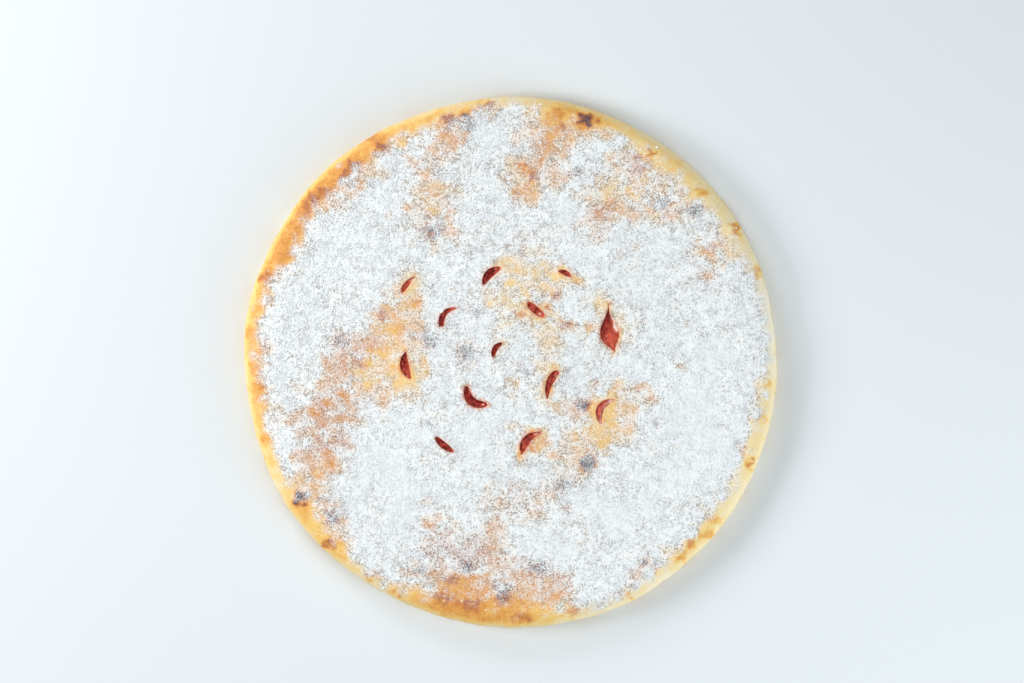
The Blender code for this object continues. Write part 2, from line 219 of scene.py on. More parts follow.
# Soft patches on the top, where the amount is how far the dough is baked, from 0 for pale to
# 100 for burned
PATCHES = patches((
    (-47, 94, 14, 8, 38, 62), (-45, 103, 16, 9, 36, 60), (-50, 113, 8, 10, 40, 56),
    (-45, 124, 10, 12, 44, 56), (-38, 134, 9, 8, 48, 67), (-28, 134, 9, 7, 44, 56),
    (-44, 144, 13, 8, 42, 56), (-58, 121, 10, 9, 42, 42), (-37, 83, 7, 9, 42, 56), (-47, 73, 8, 6, 38, 59),
    (-48, 80, 14, 10, 42, 30), (-61, 92, 11, 8, 42, 45), (-85, 117, 11, 10, 40, 56),
    (-100, 104, 11, 7, 38, 35), (-108, 94, 14, 8, 38, 25), (-122, 78, 10, 11, 38, 16),
    (-91, 108, 9, 9, 40, 50), (-69, 20, 13, 15, 33, 90), (-73, 30, 8, 8, 42, 78), (-60, 32, 10, 12, 36, 62),
    (-60, 43, 8, 9, 28, 45), (-62, 52, 8, 8, 20, 38), (-80, 18, 12, 12, 36, 62), (-77, 7, 11, 10, 36, 70),
    (-92, 12, 13, 9, 50, 50), (-102, 12, 10, 9, 50, 35), (-107, 2, 12, 9, 46, 58),
    (-55, 14, 10, 15, 34, 45), (-52, -2, 8, 12, 32, 59), (-88, -3, 16, 12, 36, 74),
    (-84, -13, 9, 8, 26, 80), (-102, -3, 10, 10, 50, 67), (-63, -11, 13, 13, 26, 82),
    (-73, -4, 10, 12, 33, 76), (-80, -18, 17, 7, 40, 50), (-99, -24, 11, 9, 50, 72),
    (-113, -24, 10, 9, 56, 64), (-115, -33, 14, 7, 54, 58), (-102, -34, 14, 7, 54, 68),
    (-108, -13, 13, 10, 46, 42), (-131, -32, 12, 6, 52, 48), (-109, -57, 9, 11, 54, 80),
    (-103, -48, 9, 7, 56, 54), (-121, -56, 10, 10, 52, 58), (-114, -45, 14, 9, 58, 66),
    (-115, -65, 14, 7, 40, 48), (-128, -72, 12, 8, 36, 50), (-116, -77, 11, 7, 38, 52),
    (-119, -83, 10, 7, 40, 60), (-124, -88, 12, 7, 32, 72), (-114, -97, 8, 9, 32, 50),
    (-109, -106, 8, 9, 34, 48), (-108, -86, 8, 8, 48, 53), (-102, -98, 7, 10, 44, 40),
    (-102, -110, 6, 8, 40, 42), (-47, -97, 6, 9, 50, 50), (-46, -111, 9, 13, 60, 50),
    (-44, -124, 8, 7, 50, 62), (-15, -112, 15, 9, 55, 59), (-9, -100, 10, 10, 46, 46),
    (-26, -118, 11, 8, 60, 54), (-10, -121, 14, 8, 50, 50), (-57, -126, 12, 7, 50, 32),
    (-33, -112, 20, 12, 66, 50), (-7, -87, 13, 14, 46, 34), (-30, -134, 22, 9, 46, 80),
    (-30, -145, 27, 13, 46, 97), (-18, -137, 11, 8, 46, 92), (-58, -141, 16, 8, 34, 62),
    (-69, -136, 10, 6, 40, 50), (-81, -130, 10, 6, 34, 32), (8, -149, 19, 10, 42, 97),
    (8, -137, 15, 7, 42, 72), (5, -128, 20, 7, 52, 56), (12, -121, 15, 6, 50, 20),
    (28, -142, 12, 8, 44, 74), (32, -140, 8, 9, 44, 45), (36, -151, 11, 6, 36, 42),
    (34, -132, 8, 7, 42, 38), (27, -127, 9, 6, 50, 20), (73, -140, 8, 5, 32, 30), (75, -130, 7, 8, 36, 22),
    (120, -98, 11, 9, 24, 50), (102, -115, 11, 8, 24, 50), (143, -59, 6, 10, 34, 60),
    (151, -18, 5, 12, 20, 50), (148, -38, 5, 12, 20, 50), (5, -77, 11, 9, 48, 30), (22, -78, 13, 9, 40, 42),
    (12, -90, 12, 9, 42, 28), (33, -72, 12, 7, 44, 32), (57, -28, 14, 14, 32, 86),
    (55, -45, 14, 10, 33, 77), (62, -17, 8, 8, 34, 60), (48, -33, 9, 10, 32, 42), (70, -28, 9, 8, 36, 52),
    (70, -40, 8, 8, 36, 46), (38, -45, 9, 9, 32, 66), (42, -53, 17, 10, 33, 46), (38, -30, 10, 6, 42, 32),
    (30, -27, 10, 8, 38, 38), (41, -65, 11, 9, 36, 40), (27, -58, 7, 7, 46, 50), (84, -20, 7, 9, 36, 42),
    (77, -16, 7, 6, 40, 36), (14, -40, 9, 6, 33, 70), (18, -48, 7, 7, 36, 60), (22, -11, 8, 10, 30, 55),
    (22, -3, 10, 8, 30, 50), (4, -13, 8, 6, 34, 42), (28, 148, 17, 10, 37, 95), (28, 139, 12, 9, 40, 74),
    (45, 141, 10, 6, 38, 70), (19, 130, 11, 9, 42, 58), (8, 116, 13, 12, 42, 66), (10, 104, 13, 10, 42, 66),
    (27, 111, 9, 9, 46, 52), (20, 123, 10, 8, 46, 70), (10, 137, 9, 9, 42, 42), (37, 134, 11, 8, 40, 80),
    (80, 131, 9, 8, 28, 62), (90, 129, 8, 8, 24, 42), (77, 113, 10, 8, 46, 54), (84, 121, 11, 8, 34, 50),
    (74, 122, 6, 7, 56, 59), (99, 118, 10, 8, 24, 45), (104, 108, 9, 8, 25, 42), (115, 103, 10, 7, 30, 60),
    (90, 107, 11, 9, 34, 46), (62, 93, 15, 10, 34, 50), (53, 88, 10, 8, 50, 45), (60, 105, 11, 10, 28, 56),
    (72, 104, 11, 8, 28, 56), (55, 80, 12, 8, 38, 32), (78, 88, 12, 8, 38, 37), (87, 96, 12, 8, 40, 40),
    (98, 92, 8, 9, 40, 35), (110, 91, 10, 8, 36, 35), (115, 65, 12, 9, 38, 58), (130, 72, 10, 11, 32, 45),
    (124, 83, 11, 9, 34, 18), (133, 79, 6, 10, 24, 18), (118, 53, 11, 6, 38, 30), (-1, 58, 12, 8, 25, 64),
    (4, 45, 10, 8, 26, 72), (14, 50, 12, 11, 24, 56), (28, 54, 12, 7, 24, 60), (38, 48, 4, 6, 38, 62),
    (22, 43, 9, 7, 28, 64), (7, 33, 11, 8, 26, 55), (22, 33, 8, 6, 30, 50), (-3, 40, 12, 14, 22, 53),
    (33, 22, 9, 7, 44, 42), (24, 12, 13, 11, 24, 45), (-2, 22, 11, 11, 20, 43), (48, 20, 5, 5, 36, 60),
    (52, 34, 9, 9, 24, 52), (67, 21, 5, 13, 24, 38), (10, 68, 15, 11, 24, 35), (66, 27, 6, 10, 20, 38),
    (-71, 42, 6, 6, 36, 45), (-10, -146, 13, 10, 45, 92), (0, -140, 10, 8, 46, 88),
    (22, -136, 10, 8, 46, 60), (18, -10, 7, 10, 28, 40), (14, 26, 9, 6, 24, 45), (56, 33, 8, 10, 24, 50),
    (66, 12, 6, 8, 30, 40), (-68, 134, 12, 5, 42, 38), (-12, 150, 9, 4, 42, 36), (14, 120, 9, 10, 46, 58),
    (54, 137, 8, 6, 36, 50), (28, 126, 10, 7, 46, 58), (47, 98, 9, 7, 38, 42), (43, 82, 8, 6, 42, 38),
    (79, 105, 8, 10, 32, 62), (88, 117, 8, 6, 34, 60), (106, 97, 8, 7, 32, 50), (130, 63, 9, 7, 30, 50),
    (30, 45, 8, 6, 24, 50), (-103, -62, 8, 9, 46, 50), (-116, -91, 6, 6, 34, 60), (9, -38, 8, 5, 32, 64),
    (7, -58, 6, 7, 36, 55), (58, -53, 8, 5, 34, 60), (-63, 19, 7, 7, 42, 86), (-74, 25, 7, 6, 36, 85),
    (-76, 16, 6, 6, 38, 76), (-55, 25, 6, 6, 36, 60), (-147, 8, 5, 12, 50, 44), (-145, 38, 5, 10, 50, 38),
    (-147, -20, 5, 12, 48, 42), (30, 132, 9, 8, 42, 62), (65, 120, 9, 9, 36, 50), (86, 87, 8, 6, 36, 48),
    (62, 86, 9, 6, 42, 46), (27, 27, 6, 6, 28, 48), (53, 30, 5, 6, 24, 60), (62, -38, 8, 8, 32, 78),
    (-42, -136, 9, 6, 46, 80), (-18, -129, 8, 5, 46, 74), (14, -50, 5, 4, 50, 80),
    (-126, -16, 8, 6, 44, 36), (-93, -14, 6, 6, 42, 58),
))

# Where the sugar lies thickest: the amount is how much more of it there is
THICK_SUGAR = patches((
    (-95, 66, 24, 15, 14), (-136, 20, 9, 26, 16), (-15, 136, 11, 13, 14), (-80, 98, 12, 9, 8),
    (-80, -60, 17, 26, 20), (-62, -78, 13, 20, 18), (-91, -88, 7, 16, 14), (-20, -40, 16, 12, 16),
    (-58, -44, 22, 9, 12), (-12, -57, 8, 12, 10), (-138, -3, 8, 8, 10), (93, 52, 20, 12, 12),
    (125, 5, 20, 11, 16), (94, 15, 14, 8, 12), (136, 27, 12, 9, 10), (112, -33, 23, 38, 22),
    (88, -76, 24, 14, 20), (68, -92, 18, 12, 16), (124, -60, 13, 16, 18),
))

# The browning and the sugar's cover away from any patch, and the least cover inside the rim
BASE_BAKE = 0.24
BASE_COVER = 0.92
COVER_RIPPLES = ((30 * MM, 0.05, 61), (9 * MM, 0.05, 62))
LEAST_COVER = 0.13

# How far a patch reaches, in its half widths, and what makes its outline uneven: how far it
# shifts, the wavelength and the two seeds
PATCH_REACH = 1.4
PATCH_WOBBLE = (2.0 * MM, 16 * MM, 51, 52)
SPOT_WOBBLE = (1.2 * MM, 6 * MM, 53, 54)

# Paler and darker places in the fruit, where the amount is how much paler. Some are painted light
# and shade: the near-white spots at -16.6, -25.4, at 17.6, 28.9 and at 19.4, 30.2, and the streak
# at 27.4, -8.5, are painted highlights on the wet juice, and the darker stripe at 58, 29 down the
# big vent's narrow upper part is painted shade in that slit.
FRUIT_TONES_AND_PAINTED_LIGHT = patches((
    (-58.5, 49.5, 3.5, 3.5, 70), (63.3, 21.8, 2.8, 5.5, 280), (58, 29, 2.2, 8, -80),
    (56.5, 20.5, 2.6, 6, -35), (62, 11.5, 3, 4.5, 70), (60.3, 15.5, 3.5, 3.5, 50),
    (-16.6, -25.4, 1.3, 1.1, 220), (17.6, 28.9, 2.6, 1.7, 130), (19.4, 30.2, 1, 1, 140),
    (-7, 56, 3.5, 2, 60), (-34, 32.6, 4, 1.6, 70), (27.4, -8.5, 1.3, 4, 120), (15.5, -43.2, 3.6, 1.8, 110),
    (59.5, -24, 3, 3, 30), (-62, -5.5, 2.6, 4.5, 25), (-64, 3, 2.5, 4, -30),
))

# The fruit is also paler along the lower right side of each vent. This is painted light, where light
# falls in past the upper left wall. The side is found by shifting the points.
LIT_SIDE_PAINT = 0.4
LIT_SIDE_SHIFT = 0.5 * MM
LIT_SIDE_FADE = (-1.0 * MM, 0.3 * MM)

# Spots that the oven browned or burned, where the amount is how dark they are
SPOTS = patches((
    (-25, 143.7, 7, 6.5, 100, 50), (-36.5, 144.7, 6, 4.5, 66, 16), (-14, 154, 6, 3, 60, 30),
    (-77.5, 128.4, 5, 4, 66, 30), (-92.8, 117.5, 5, 5, 64, 12), (-98.3, 110.4, 5, 5, 66, 12),
    (-111, 102, 5, 3, 62, 12), (-118, 98, 5, 5, 66, 33), (-122, 92, 5, 5, 58, 29),
    (-46.9, 79, 6, 5, 100, 12), (-146, 51, 5, 5, 60, 30), (-21.8, 30, 6, 5, 100, 20),
    (-48, 14.5, 7, 6, 100, 20), (-26.5, 4.8, 7.5, 8.5, 100, 56), (-101.6, 12.5, 5, 5, 80, 15),
    (-84, 11.4, 4.5, 4, 50, 20), (-91.7, -1, 5, 4, 60, 0), (-76.5, 28.3, 4, 4, 60, 30),
    (-56.5, 37, 3.5, 4, 50, 12), (-84, 134.6, 8, 4, 50, 25), (-156.3, 18, 4, 5, 42, 21),
    (44.5, 144.5, 7, 4.5, 84, 42), (40, 114.7, 6, 4.5, 100, 30), (22, 132, 4, 4, 50, 20),
    (27.5, 148.5, 4, 4, 48, 24), (30, 142.5, 3, 4, 58, 29), (13.3, 112.5, 4, 4, 62, 31),
    (8, 118, 4, 3, 58, 29), (75.6, 115.8, 6, 5, 62, 8), (76, 122.5, 4, 3.5, 60, 30),
    (84, 125, 2.5, 2.5, 62, 31), (52.6, 88, 8, 6, 52, 22), (59, 95.5, 4, 4, 56, 28),
    (3, 96.7, 4, 4, 58, 29), (90, 95, 6, 5, 90, 15), (110.6, 90, 6, 6, 100, 18), (95.5, 86.5, 5, 4, 42, 10),
    (73.4, 87, 4, 3, 42, 21), (135.5, 81, 4, 4, 50, 5), (121, 70, 4, 4, 68, 40), (118, 51.3, 6, 4, 46, 15),
    (27.5, 39.5, 4, 3.5, 66, 33), (22.5, 33, 3.5, 3, 60, 30), (6.7, 28.3, 4.5, 3.5, 60, 30),
    (33, 22.5, 5, 3.5, 66, 33), (79, 22.3, 4.5, 4.5, 95, 18), (48.2, 19.6, 3.5, 3.5, 42, 21),
    (75.5, 72, 4, 5, 54, 27), (148.5, 54.6, 3, 5, 38, 19), (113, 102.7, 6, 3, 40, 20),
    (-126, -80.8, 5, 4.5, 95, 45), (-107, -92.2, 5, 4.5, 100, 32), (-117, -69, 5, 4.5, 42, 15),
    (-110, -109, 4.5, 3.5, 58, 29), (-103, -22.3, 5, 4.5, 50, 5), (-117, -30.5, 4.5, 4, 46, 23),
    (-147.5, -47, 3, 4, 42, 21), (-153, -5, 3, 6, 48, 24), (-150, -12, 3, 4, 52, 26),
    (-55, -125, 5, 4, 95, 20), (-26, -123, 5, 4.5, 85, 18), (-37, -130.5, 6, 3.5, 64, 0),
    (-68.5, -137, 4, 3, 52, 25), (-82, -127, 6, 4, 52, 12), (-41, -141, 5, 4, 66, 12),
    (-24, -146, 8, 5, 62, 12), (-4.5, -137, 5, 7, 90, 25), (-95, -76.5, 4, 3, 50, 25),
    (-51, -82.4, 4.5, 4, 50, 25), (-9, -82, 7, 6, 42, 10), (-3, -90, 5, 4, 42, 12),
    (-12, -95, 6, 5, 42, 12), (-49, -37, 6, 6, 90, 12), (-77, -24, 6, 5, 44, 22),
    (46.6, -60.5, 6.5, 6, 100, 50), (32.4, -74.2, 6, 5.5, 95, 20), (43, -25.5, 5, 5.5, 90, 40),
    (7.8, -3.7, 5.5, 5, 90, 38), (51.5, -13.5, 5, 4, 50, 12), (75.6, -14.6, 4, 3.5, 52, 26),
    (83.5, -24, 4.5, 4.5, 44, 22), (16.5, -122.8, 6.5, 5, 90, 12), (27.5, -128.8, 5, 4, 60, 30),
    (80.5, -119.6, 4.5, 4, 100, 56), (75.5, -127, 4, 4, 58, 29), (86.5, -124, 3, 3, 60, 30),
    (67.5, -137, 4, 4, 36, 10), (37, -149, 6, 4, 48, 24), (107.3, -109, 4.5, 3.5, 50, 25),
    (144.5, -60.5, 4, 4, 50, 34), (102.5, -116.5, 5, 4, 40, 20), (118, -103.5, 6, 3.5, 38, 15),
    (121.5, -94, 4, 5, 36, 15), (155, -12.5, 3, 3, 34, 17), (151, -34, 3, 4, 34, 17),
    (142, -18, 4, 3.5, 85, 18), (88, -36, 5, 5, 50, 25), (6.5, -152.5, 7, 3.5, 52, 26),
    (34, -87.9, 4, 4.5, 55, 28), (89.5, -69, 3, 2.5, 56, 28), (72, -141, 3, 3, 36, 18),
    (137, -51, 4, 5, 52, 26), (102.5, -2, 5, 3.5, 46, 23), (-151, -57, 3, 6, 46, 23),
))
SPOT_STRENGTH = 1.35

# The grains of icing sugar: how many, their half width and its spread, their seed and how
# strictly they keep to thick sugar. A few stray ones lie on bare dough too, but none right at
# the pie's edge or at a vent.
Grains = namedtuple("Grains", "count radius spread seed strictness")
SPECKS = Grains(32000, 0.26 * MM, 0.30, 41, 1.0)
CLUMPS = Grains(9000, 0.45 * MM, 0.28, 42, 2.0)
GRAIN_FLATNESS = 0.6
GRAIN_SINK = 0.25
GRAIN_UNEVENNESS = (0.7, 1.25)
STRAY_GRAINS = 0.008
STRAY_FADE = (1.5 * MM, 5 * MM)
EDGE_CLEARANCE = 1.0 * MM
VENT_CLEARANCE = 0.4 * MM

# The camera looks straight down. The picture's middle lies a little up and right of the pie's.
VIEW_WIDTH = 615.9 * MM
VIEW_MIDDLE = (0.8 * MM, 12.4 * MM)
LENS = 200.0
SENSOR = 36.0

# The floor, far wider than the picture
FLOOR_SIZE = 6.0

# The pale light all round
ROOM_COLOUR = (0.955, 1.0, 1.02, 1.0)
ROOM_STRENGTH = 0.302

# The soft lights: name, direction and rise in degrees, distance, width, power and colour
SUNLIT = (1.0, 0.97, 0.945)
SKYLIT = (0.955, 0.985, 1.0)
SOFTBOXES = (
    ("left_window", 178, 30, 1.5, 0.55, 13.2, SUNLIT),
    ("top_window", 124, 29, 1.5, 0.55, 7.9, SUNLIT),
    ("ceiling", -40, 58, 0.85, 0.6, 1.8, SKYLIT),
    ("far_wall", -30, 18, 1.5, 0.8, 8.9, SKYLIT),
)


def ripple(x, y, length, seed):
    """A smooth random field of about one wavelength, with a typical height of 1."""
    draw = np.random.default_rng(seed)
    total = np.zeros_like(x)
    for _ in range(RIPPLE_WAVES):
        heading, phase = draw.uniform(0, math.tau, 2)
        travel = x * math.cos(heading) + y * math.sin(heading)
        total += np.sin(math.tau * travel / (length * draw.uniform(*RIPPLE_SPREAD)) + phase)
    return total * math.sqrt(2 / RIPPLE_WAVES)


def uneven(x, y, unevenness):
    """Ripples from a row with their wavelength, height and seed."""
    length, rise, seed = unevenness
    return rise * ripple(x, y, length, seed)


def bump(distance, reach):
    """1 on the spot, falling smoothly to 0 at the reach."""
    return (1 - np.clip(distance / reach, 0, 1) ** 2) ** 2


def ramp(value, low, high):
    """0 below low, 1 above high and smooth in between."""
    share = np.clip((value - low) / (high - low), 0, 1)
    return share * share * (3 - 2 * share)


def swell(angle):
    """How far the outline stands out from its circle in a direction."""
    total = np.zeros_like(angle)
    for direction, rise, half_width in OUTLINE_SWELLS:
        apart = (np.degrees(angle) - direction + 180) % 360 - 180
        total += rise * np.exp(-(apart / half_width) ** 2)
    return total


def outline_middle():
    """The middle of the outline's own box, measured round its circle once a degree."""
    angle = np.radians(np.arange(360))
    radius = PIE_RADIUS + swell(angle)
    xs = radius * np.cos(angle)
    ys = radius * np.sin(angle)
    return (xs.min() + xs.max()) / 2, (ys.min() + ys.max()) / 2


MIDDLE_X, MIDDLE_Y = outline_middle()


def outline_inset(x, y):
    """How far inside the outline points lie."""
    hub_x = x + MIDDLE_X
    hub_y = y + MIDDLE_Y
    return PIE_RADIUS + swell(np.arctan2(hub_y, hub_x)) - np.hypot(hub_x, hub_y)


def vent_point(vent, along, across, gap=0.0):
    """Points of a vent: along from 0 to 1 between its tips, across from -1 to 1."""
    length = vent.length * MM
    bow = vent.bow * MM
    blunt_end = 2 * gap / length
    along = blunt_end + (1 - 2 * blunt_end) * along
    skew = math.log(0.5) / math.log(vent.widest)
    fullness = np.maximum(np.sin(np.pi * along ** skew), 0) ** vent.taper
    half_width = vent.width * MM / 2 * fullness
    half_width = np.maximum(half_width - gap, half_width / 4)
    step = 2 * along - 1
    tangent = np.arctan2(-4 * bow * step, length)
    ahead = step * length / 2 - across * half_width * np.sin(tangent)
    aside = bow * (1 - step ** 2) + across * half_width * np.cos(tangent)
    heading = math.radians(vent.heading)
    x = vent.x * MM + ahead * math.cos(heading) - aside * math.sin(heading)
    y = vent.y * MM + ahead * math.sin(heading) + aside * math.cos(heading)
    return x, y


def vent_outline(vent):
    """The corners of a vent's outline, in order, with each tip once."""
    along = (1 - np.cos(np.pi * np.arange(VENT_CELLS + 1) / VENT_CELLS)) / 2
    left = np.column_stack(vent_point(vent, along, 1))
    right = np.column_stack(vent_point(vent, along, -1))
    return np.vstack((right, left[-2:0:-1]))


def outline_distance(x, y, corners):
    """How far outside a closed outline points lie, negative inside it."""
    nearest = np.full(x.shape, np.inf)
    inside = np.zeros(x.shape, bool)
    for (ax, ay), (bx, by) in zip(corners, np.roll(corners, -1, axis=0)):
        dx, dy = bx - ax, by - ay
        share = np.clip(((x - ax) * dx + (y - ay) * dy) / (dx * dx + dy * dy), 0, 1)
        nearest = np.minimum(nearest, np.hypot(x - ax - share * dx, y - ay - share * dy))
        left_of_edge = ((x - ax) * dy < dx * (y - ay)) == (dy > 0)
        inside ^= ((ay > y) != (by > y)) & left_of_edge
    return np.where(inside, -nearest, nearest)


def near_vents(x, y):
    """For each vent: the vent, which points lie near it and how far outside it they are."""
    for vent in VENTS:
        reach = vent.length * MM / 2 + vent.width * MM + abs(vent.bow) * MM + LIP_REACH
        near = np.hypot(x - vent.x * MM, y - vent.y * MM) < reach
        yield vent, near, outline_distance(x[near], y[near], vent_outline(vent))


def vent_distance(x, y):
    """How far points lie from the nearest vent, negative inside one."""
    nearest = np.full(x.shape, np.inf)
    for _, near, distance in near_vents(x, y):
        nearest[near] = np.minimum(nearest[near], distance)
    return nearest


def lip(x, y):
    """How much the dough is raised round the vents."""
    nearest = np.full(x.shape, LIP_REACH)
    along = np.arange(LIP_SPINE_CELLS + 1) / LIP_SPINE_CELLS
    for vent in VENTS:
        for spine_x, spine_y in zip(*vent_point(vent, along, 0)):
            nearest = np.minimum(nearest, np.hypot(x - spine_x, y - spine_y))
    return LIP_RISE * bump(nearest, LIP_REACH)


def top_height(x, y):
    """The height of the baked top: a low crown, a puffed shoulder, waves, blisters and lips."""
    inset = outline_inset(x, y)
    height = PIE_HEIGHT + CROWN_RISE * bump(np.hypot(x, y), PIE_RADIUS)
    height += SHOULDER_RISE * bump(np.abs(inset - SHOULDER_INSET), SHOULDER_WIDTH)
    for length, direction, rise, phase in WAVES:
        travel = x * math.cos(math.radians(direction)) + y * math.sin(math.radians(direction))
        height += rise * np.sin(math.tau * travel / length + math.radians(phase))
    for blister_x, blister_y, radius, rise in BLISTERS:
        distance = np.hypot(x - blister_x * MM, y - blister_y * MM)
        height += rise * MM * bump(distance, radius * MM)
    return height + lip(x, y)


def dough_height(x, y):
    """The height of the baked top with its fine unevenness, kept just under the CAD model's."""
    height = top_height(x, y)
    for unevenness in TOP_RIPPLES:
        height += uneven(x, y, unevenness)
    ceiling = cad_box[1].z - GRAIN_ROOM
    spare = (ceiling - height) / GRAIN_ROOM_SOFTNESS
    return ceiling - GRAIN_ROOM_SOFTNESS * np.logaddexp(0, spare)


def crust_height(x, y):
    """The height of the crust's top with its rolled edge."""
    share = np.clip(1 - outline_inset(x, y) / RIM_WIDTH, 0, 1)
    roll = (1 - share ** ROLL_POWER) ** (1 / ROLL_POWER)
    return WAIST_HEIGHT + (dough_height(x, y) - WAIST_HEIGHT) * roll


def from_middle(x, y, patch):
    """How far points lie from a patch's middle, in its half widths."""
    return np.hypot((x - patch.x) / patch.half_x, (y - patch.y) / patch.half_y)


def patch_depth(x, y, patch):
    """1 in the middle of a patch, falling smoothly to 0 a little past its half widths."""
    return 1 - ramp(from_middle(x, y, patch), 0.0, PATCH_REACH)


def wobbled(x, y, wobble):
    """Points shifted a little by ripples, which makes what is drawn with them uneven."""
    shift, length, seed_x, seed_y = wobble
    return x + shift * ripple(x, y, length, seed_x), y + shift * ripple(x, y, length, seed_y)


def rim_at(x, y):
    """How wide the rim is bare, and how far it is baked, in the direction of each point."""
    angle = np.degrees(np.arctan2(y + MIDDLE_Y, x + MIDDLE_X))
    directions, widths, bakes = np.transpose(RIM)
    width = np.interp(angle, directions, widths, period=360) * MM
    return width, np.interp(angle, directions, bakes / 100, period=360)


def crust_browning(x, y, z):
    """How far the dough is baked at each point, from 0 for pale to 1 for burned."""
    inset = outline_inset(x, y)
    baked = np.full(x.shape, BASE_BAKE)
    patch_places = wobbled(x, y, PATCH_WOBBLE)
    for patch in PATCHES:
        baked += (patch.amount - baked) * patch_depth(*patch_places, patch)
    width, rim_bake = rim_at(x, y)
    full = (1 - RIM_FADE_SHARE) * width
    gone = (1 + RIM_FADE_SHARE) * width + RIM_FADE
    baked += (rim_bake - baked) * (1 - ramp(inset, full, gone))
    baked *= PALE_EDGE + (1 - PALE_EDGE) * ramp(inset, *PALE_EDGE_FADE)
    spot_places = wobbled(x, y, SPOT_WOBBLE)
    for spot in SPOTS:
        depth = np.minimum(SPOT_STRENGTH * patch_depth(*spot_places, spot), 1)
        baked += np.maximum(spot.amount - baked, 0) * depth
    side = SIDE_BAKE + uneven(x, y, SIDE_UNEVENNESS)
    side += FOOT_BAKE * (1 - ramp(z, 0, FOOT_BAKE_HEIGHT))
    return np.clip(side + (baked - side) * ramp(z, *SIDE_FADE), 0, 1)


def sugar_cover(x, y):
    """What share of the top the sugar covers at each point."""
    places = wobbled(x, y, PATCH_WOBBLE)
    bare = np.zeros_like(x)
    for patch in PATCHES:
        bare = np.maximum(bare, patch.thin * patch_depth(*places, patch))
    for spot in SPOTS:
        bare += spot.thin * patch_depth(x, y, spot)
    cover = BASE_COVER + sum(uneven(x, y, unevenness) for unevenness in COVER_RIPPLES)
    cover -= bare
    for patch in THICK_SUGAR:
        cover += patch.amount * patch_depth(*places, patch)
    for vent, near, distance in near_vents(x, y):
        cover[near] -= vent.halo * bump(np.maximum(distance, 0), HALO_REACH)
    cover = np.maximum(cover, LEAST_COVER)
    width, _ = rim_at(x, y)
    width = width * (1 + uneven(x, y, RIM_UNEVENNESS))
    return cover * ramp(outline_inset(x, y), width - DUSTING_FADE, width + DUSTING_FADE)


def juice_stain(x, y):
    """How far juice has stained the dough round the vents."""
    stain = np.zeros_like(x)
    for vent, near, distance in near_vents(x, y):
        reach = STAIN_REACH * (1 + uneven(x[near], y[near], STAIN_RIPPLE))
        reach = np.maximum(reach, LEAST_STAIN_REACH)
        stain[near] += vent.glow * bump(np.maximum(distance, 0), reach)
        stain[near] += distance < CUT_EDGE
    return np.clip(stain, 0, 1)


def get_points(obj):
    """An object's points as rows of x, y and z."""
    flat = np.empty(3 * len(obj.data.vertices))
    obj.data.vertices.foreach_get("co", flat)
    return flat.reshape(-1, 3)


def set_points(obj, points):
    """Moves an object's points."""
    obj.data.vertices.foreach_set("co", np.ascontiguousarray(points, float).ravel())
    obj.data.update()


def set_attribute(obj, name, values):
    """Gives each point of an object a value that its material can read."""
    attribute = obj.data.attributes.new(name, "FLOAT", "POINT")
    attribute.data.foreach_set("value", np.asarray(values, np.float32))


def choose(*objects):
    """Selects these objects alone and makes the first of them the active one."""
    bpy.ops.object.select_all(action="DESELECT")
    for obj in objects:
        obj.select_set(True)
    bpy.context.view_layer.objects.active = objects[0]


@contextmanager
def editing(obj, select_mode, whole=True):
    """Edit mode on one object, with its whole mesh selected unless told otherwise."""
    choose(obj)
    bpy.ops.object.mode_set(mode="EDIT")
    bpy.ops.mesh.select_mode(type=select_mode)
    if whole:
        bpy.ops.mesh.select_all(action="SELECT")
    yield
    bpy.ops.object.mode_set(mode="OBJECT")


def turn_faces_out(obj):
    """Makes every face of a closed mesh look outwards."""
    with editing(obj, "FACE"):
        bpy.ops.mesh.normals_make_consistent(inside=False)


def extrude_rings(radius, height, rings):
    """Extrudes what is selected from one radius and height through those of each ring."""
    for new_radius, new_height in rings:
        share = new_radius / radius
        bpy.ops.mesh.extrude_region_move()
        bpy.ops.transform.resize(value=(share, share, 1), center_override=(0, 0, 0))
        bpy.ops.transform.translate(value=(0, 0, new_height - height))
        radius, height = new_radius, new_height


def add_object(name, data):
    """Puts an object with this mesh, light or camera into the scene."""
    obj = bpy.data.objects.new(name, data)
    bpy.context.scene.collection.objects.link(obj)
    return obj


def add_primitive(operator, name, **sizes):
    """Adds a primitive with nothing else selected, and puts its place in its mesh."""
    bpy.ops.object.select_all(action="DESELECT")
    operator(**sizes)
    obj = bpy.context.object
    obj.name = name
    bpy.ops.object.transform_apply(location=True, rotation=True, scale=True)
    return obj


def join(objects, name):
    """Joins objects into one."""
    choose(*objects)
    bpy.ops.object.join()
    objects[0].name = name
    return objects[0]


def boolean(obj, operation, tool):
    """Cuts an object by a closed tool, or joins it to one, and removes the tool."""
    choose(obj)
    modifier = obj.modifiers.new(tool.name, "BOOLEAN")
    modifier.operation = operation
    modifier.solver = "MANIFOLD"
    modifier.object = tool
    bpy.ops.object.modifier_apply(modifier=modifier.name)
    bpy.data.objects.remove(tool)


def shade(obj):
    """Shades an object smooth up to its creases."""
    choose(obj)
    bpy.ops.object.shade_smooth_by_angle(angle=math.radians(CREASE_DEGREES))


def cover_with(obj, material):
    """Gives an object one material in place of the empty slots that its cuts left."""
    obj.data.materials.clear()
    obj.data.materials.append(material)


def square_to_disc(points):
    """Draws a square grid's points into a disc of the same half width."""
    u, v = points[:, 0], points[:, 1]
    size = np.maximum(np.abs(u), np.abs(v))
    wide = np.abs(u) >= np.abs(v)
    minor = np.where(wide, v, u) / np.where(size == 0, 1, np.where(wide, u, v))
    turn = np.pi / 4 * minor
    angle = np.where(wide, turn + np.pi * (u < 0), np.pi / 2 - turn + np.pi * (v < 0))
    return np.column_stack((size * np.cos(angle), size * np.sin(angle), points[:, 2]))


